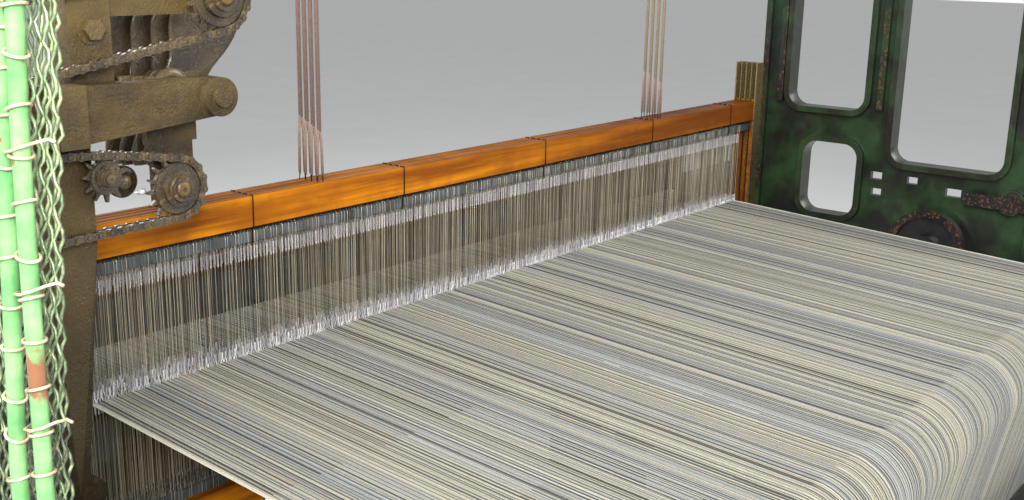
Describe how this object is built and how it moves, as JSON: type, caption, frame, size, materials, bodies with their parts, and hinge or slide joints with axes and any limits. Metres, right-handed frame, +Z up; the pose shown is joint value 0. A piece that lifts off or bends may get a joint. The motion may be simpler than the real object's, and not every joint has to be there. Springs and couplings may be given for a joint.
{
  "type": "power loom",
  "caption": "Floor-standing power loom with heald shafts on cords, a swinging sley with reed and shuttle boxes, a striped warp over a back rest, and a chain-driven shed motion.",
  "frame": {"origin": "middle of the loom's box at floor level", "axes": "+X across the loom towards the end with the shed motion, +Y from the weaver's side to the warp beam, +Z up"},
  "size_m": [2.69, 1.2919, 1.96],
  "materials": {
    "green_paint": "old green enamel, oily",
    "greasy_iron": "oily grease over cast iron",
    "steel": "worn bright steel",
    "plain_wood": "waxed hardwood",
    "varnished_wood": "orange varnish",
    "warp_yarn": "striped wool warp",
    "cloth": "woven wool cloth",
    "harness_cord": "waxed cord",
    "leather_belt": "worn leather",
    "black_iron": "black enamel"
  },
  "bodies": {
    "frame": {"near_end_frame": "green_paint", "far_end_frame": "green_paint", "breast_beam": "plain_wood", "tie_rails": "green_paint", "overhead_rails": "green_paint", "near_upright": "greasy_iron", "bracket_arm": "greasy_iron", "heald_guides": "greasy_iron", "chain_gearbox": "green_paint", "cord_sheaves": "greasy_iron", "warp_sheet": "warp_yarn", "woven_cloth": "cloth", "harness_cords": "harness_cord", "roller_chains": "greasy_iron", "motor": "greasy_iron", "drive_belt": "leather_belt", "end_guard": "green_paint"},
    "crankshaft": {"crankshaft": "steel", "crank_gear": "greasy_iron", "flywheel": "green_paint"},
    "bottom_shaft": {"bottom_shaft": "greasy_iron", "bottom_gear": "greasy_iron"},
    "near_crank_arm": {"near_crank_arm": "plain_wood"},
    "far_crank_arm": {"far_crank_arm": "plain_wood"},
    "sley": {"rocking_shaft": "steel", "swords": "green_paint", "sley_board": "plain_wood", "reed": "steel", "reed_cap": "plain_wood", "shuttle_boxes": "greasy_iron", "shuttle": "plain_wood"},
    "near_picking_stick": {"near_picking_stick": "plain_wood"},
    "far_picking_stick": {"far_picking_stick": "plain_wood"},
    "heald_shaft_1": {"heald_frame_1": "varnished_wood", "healds_1": "steel"},
    "heald_shaft_2": {"heald_frame_2": "varnished_wood", "healds_2": "steel"},
    "heald_shaft_3": {"heald_frame_3": "varnished_wood", "healds_3": "steel"},
    "heald_shaft_4": {"heald_frame_4": "varnished_wood", "healds_4": "steel"},
    "jack_lever_1": {"jack_lever_1": "greasy_iron"},
    "jack_lever_2": {"jack_lever_2": "greasy_iron"},
    "jack_lever_3": {"jack_lever_3": "greasy_iron"},
    "jack_lever_4": {"jack_lever_4": "greasy_iron"},
    "lower_chain_wheel": {"lower_chain_wheel": "greasy_iron"},
    "tension_wheel": {"tension_wheel": "greasy_iron"},
    "upper_chain_wheel": {"upper_chain_wheel": "greasy_iron"},
    "lower_drive_wheel": {"lower_drive_wheel": "greasy_iron"},
    "upper_drive_wheel": {"upper_drive_wheel": "greasy_iron"},
    "upright_shaft": {"upright_shaft": "steel"},
    "motor_pulley": {"motor_pulley": "steel"},
    "warp_beam": {"warp_beam": "greasy_iron", "warp_roll": "warp_yarn"},
    "back_rest": {"back_rest": "plain_wood"},
    "sand_roller": {"sand_roller": "steel"},
    "cloth_roller": {"cloth_roller": "plain_wood"},
    "let_off_wheel": {"let_off_wheel": "black_iron"},
    "easing_lever": {"easing_lever": "black_iron"},
    "starting_handle": {"starting_handle": "steel"}
  },
  "joints": [
    {"name": "crankshaft_spin", "type": "hinge", "parent": "frame", "child": "crankshaft", "pos_m": [0, -0.00405, 0.64], "axis": [1, 0, 0], "continuous": true, "deforming": ["roller_chains"]},
    {"name": "bottom_shaft_spin", "type": "hinge", "parent": "frame", "child": "bottom_shaft", "pos_m": [0, -0.00405, 0.352], "axis": [1, 0, 0], "continuous": true},
    {"name": "near_crank_arm_turn", "type": "hinge", "parent": "crankshaft", "child": "near_crank_arm", "pos_m": [0.674, -0.00405, 0.595], "axis": [1, 0, 0], "continuous": true},
    {"name": "far_crank_arm_turn", "type": "hinge", "parent": "crankshaft", "child": "far_crank_arm", "pos_m": [-0.674, -0.00405, 0.595], "axis": [1, 0, 0], "continuous": true},
    {"name": "sley_swing", "type": "hinge", "parent": "frame", "child": "sley", "pos_m": [0, -0.28905, 0.11], "axis": [1, 0, 0], "range_deg": [-5.3, 5.3]},
    {"name": "near_picking_stick_swing", "type": "hinge", "parent": "sley", "child": "near_picking_stick", "pos_m": [1.31, -0.28905, 0.17], "axis": [0, 1, 0], "range_deg": [-12, 0]},
    {"name": "far_picking_stick_swing", "type": "hinge", "parent": "sley", "child": "far_picking_stick", "pos_m": [-1.31, -0.28905, 0.17], "axis": [0, 1, 0], "range_deg": [0, 12]},
    {"name": "heald_shaft_1_lift", "type": "slide", "parent": "frame", "child": "heald_shaft_1", "axis": [0, 0, 1], "range_m": [-0.042, 0.042], "deforming": ["warp_sheet", "harness_cords"]},
    {"name": "heald_shaft_2_lift", "type": "slide", "parent": "frame", "child": "heald_shaft_2", "axis": [0, 0, 1], "range_m": [-0.042, 0.042], "deforming": ["warp_sheet", "harness_cords"]},
    {"name": "heald_shaft_3_lift", "type": "slide", "parent": "frame", "child": "heald_shaft_3", "axis": [0, 0, 1], "range_m": [-0.042, 0.042], "deforming": ["warp_sheet", "harness_cords"]},
    {"name": "heald_shaft_4_lift", "type": "slide", "parent": "frame", "child": "heald_shaft_4", "axis": [0, 0, 1], "range_m": [-0.042, 0.042], "deforming": ["warp_sheet", "harness_cords"]},
    {"name": "jack_lever_1_swing", "type": "hinge", "parent": "frame", "child": "jack_lever_1", "pos_m": [0.614, -0.1283, 1.309], "axis": [0, 1, 0], "range_deg": [-4.3, 4.3]},
    {"name": "jack_lever_2_swing", "type": "hinge", "parent": "frame", "child": "jack_lever_2", "pos_m": [0.614, -0.1398, 1.309], "axis": [0, 1, 0], "range_deg": [-4.3, 4.3]},
    {"name": "jack_lever_3_swing", "type": "hinge", "parent": "frame", "child": "jack_lever_3", "pos_m": [0.614, -0.1513, 1.309], "axis": [0, 1, 0], "range_deg": [-4.3, 4.3]},
    {"name": "jack_lever_4_swing", "type": "hinge", "parent": "frame", "child": "jack_lever_4", "pos_m": [0.614, -0.1628, 1.309], "axis": [0, 1, 0], "range_deg": [-4.3, 4.3]},
    {"name": "lower_chain_wheel_spin", "type": "hinge", "parent": "frame", "child": "lower_chain_wheel", "pos_m": [0.665, -0.05405, 1.215], "axis": [0, 1, 0], "continuous": true},
    {"name": "tension_wheel_spin", "type": "hinge", "parent": "frame", "child": "tension_wheel", "pos_m": [0.748, -0.05405, 1.238], "axis": [0, 1, 0], "continuous": true},
    {"name": "upper_chain_wheel_spin", "type": "hinge", "parent": "frame", "child": "upper_chain_wheel", "pos_m": [0.6, -0.05405, 1.413], "axis": [0, 1, 0], "continuous": true},
    {"name": "lower_drive_wheel_spin", "type": "hinge", "parent": "frame", "child": "lower_drive_wheel", "pos_m": [0.935, -0.05405, 1.226], "axis": [0, 1, 0], "continuous": true},
    {"name": "upper_drive_wheel_spin", "type": "hinge", "parent": "frame", "child": "upper_drive_wheel", "pos_m": [0.935, -0.05405, 1.356], "axis": [0, 1, 0], "continuous": true},
    {"name": "upright_shaft_spin", "type": "hinge", "parent": "frame", "child": "upright_shaft", "pos_m": [0.935, -0.00405, 0.8], "axis": [0, 0, 1], "continuous": true},
    {"name": "motor_pulley_spin", "type": "hinge", "parent": "frame", "child": "motor_pulley", "pos_m": [-0.905, 0.32595, 0.17], "axis": [1, 0, 0], "continuous": true},
    {"name": "warp_beam_spin", "type": "hinge", "parent": "frame", "child": "warp_beam", "pos_m": [0, 0.33895, 0.52], "axis": [1, 0, 0], "continuous": true},
    {"name": "back_rest_spin", "type": "hinge", "parent": "frame", "child": "back_rest", "pos_m": [0, 0.53695, 0.87693], "axis": [1, 0, 0], "continuous": true},
    {"name": "sand_roller_spin", "type": "hinge", "parent": "frame", "child": "sand_roller", "pos_m": [0, -0.56405, 0.79], "axis": [1, 0, 0], "continuous": true},
    {"name": "cloth_roller_spin", "type": "hinge", "parent": "frame", "child": "cloth_roller", "pos_m": [0, -0.56405, 0.6678], "axis": [1, 0, 0], "continuous": true},
    {"name": "let_off_wheel_spin", "type": "hinge", "parent": "frame", "child": "let_off_wheel", "pos_m": [-0.815, 0.25295, 0.925], "axis": [1, 0, 0], "continuous": true},
    {"name": "easing_lever_swing", "type": "hinge", "parent": "frame", "child": "easing_lever", "pos_m": [-0.815, 0.39595, 1.03], "axis": [1, 0, 0], "range_deg": [-3, 3]},
    {"name": "starting_handle_swing", "type": "hinge", "parent": "frame", "child": "starting_handle", "pos_m": [0.86, -0.60005, 0.7], "axis": [1, 0, 0], "range_deg": [-8, 8]}
  ],
  "couplings": [
    {"joint": "bottom_shaft_spin", "follows": "crankshaft_spin", "ratio": -0.5},
    {"joint": "near_crank_arm_turn", "follows": "crankshaft_spin", "ratio": -1},
    {"joint": "far_crank_arm_turn", "follows": "crankshaft_spin", "ratio": -1},
    {"joint": "lower_drive_wheel_spin", "follows": "crankshaft_spin", "ratio": -0.5},
    {"joint": "lower_chain_wheel_spin", "follows": "crankshaft_spin", "ratio": -0.75},
    {"joint": "tension_wheel_spin", "follows": "crankshaft_spin", "ratio": -1.0909},
    {"joint": "upper_drive_wheel_spin", "follows": "crankshaft_spin", "ratio": 0.5},
    {"joint": "upper_chain_wheel_spin", "follows": "crankshaft_spin", "ratio": 0.5},
    {"joint": "upright_shaft_spin", "follows": "crankshaft_spin", "ratio": 0.5},
    {"joint": "motor_pulley_spin", "follows": "crankshaft_spin", "ratio": 4},
    {"joint": "back_rest_spin", "follows": "warp_beam_spin", "ratio": 3.1667},
    {"joint": "sand_roller_spin", "follows": "warp_beam_spin", "ratio": 3.8},
    {"joint": "cloth_roller_spin", "follows": "warp_beam_spin", "ratio": -2.7143},
    {"joint": "jack_lever_1_swing", "follows": "heald_shaft_1_lift", "rad_per_m": 1.7428},
    {"joint": "jack_lever_2_swing", "follows": "heald_shaft_2_lift", "rad_per_m": 1.7428},
    {"joint": "jack_lever_3_swing", "follows": "heald_shaft_3_lift", "rad_per_m": 1.7428},
    {"joint": "jack_lever_4_swing", "follows": "heald_shaft_4_lift", "rad_per_m": 1.7428}
  ]
}
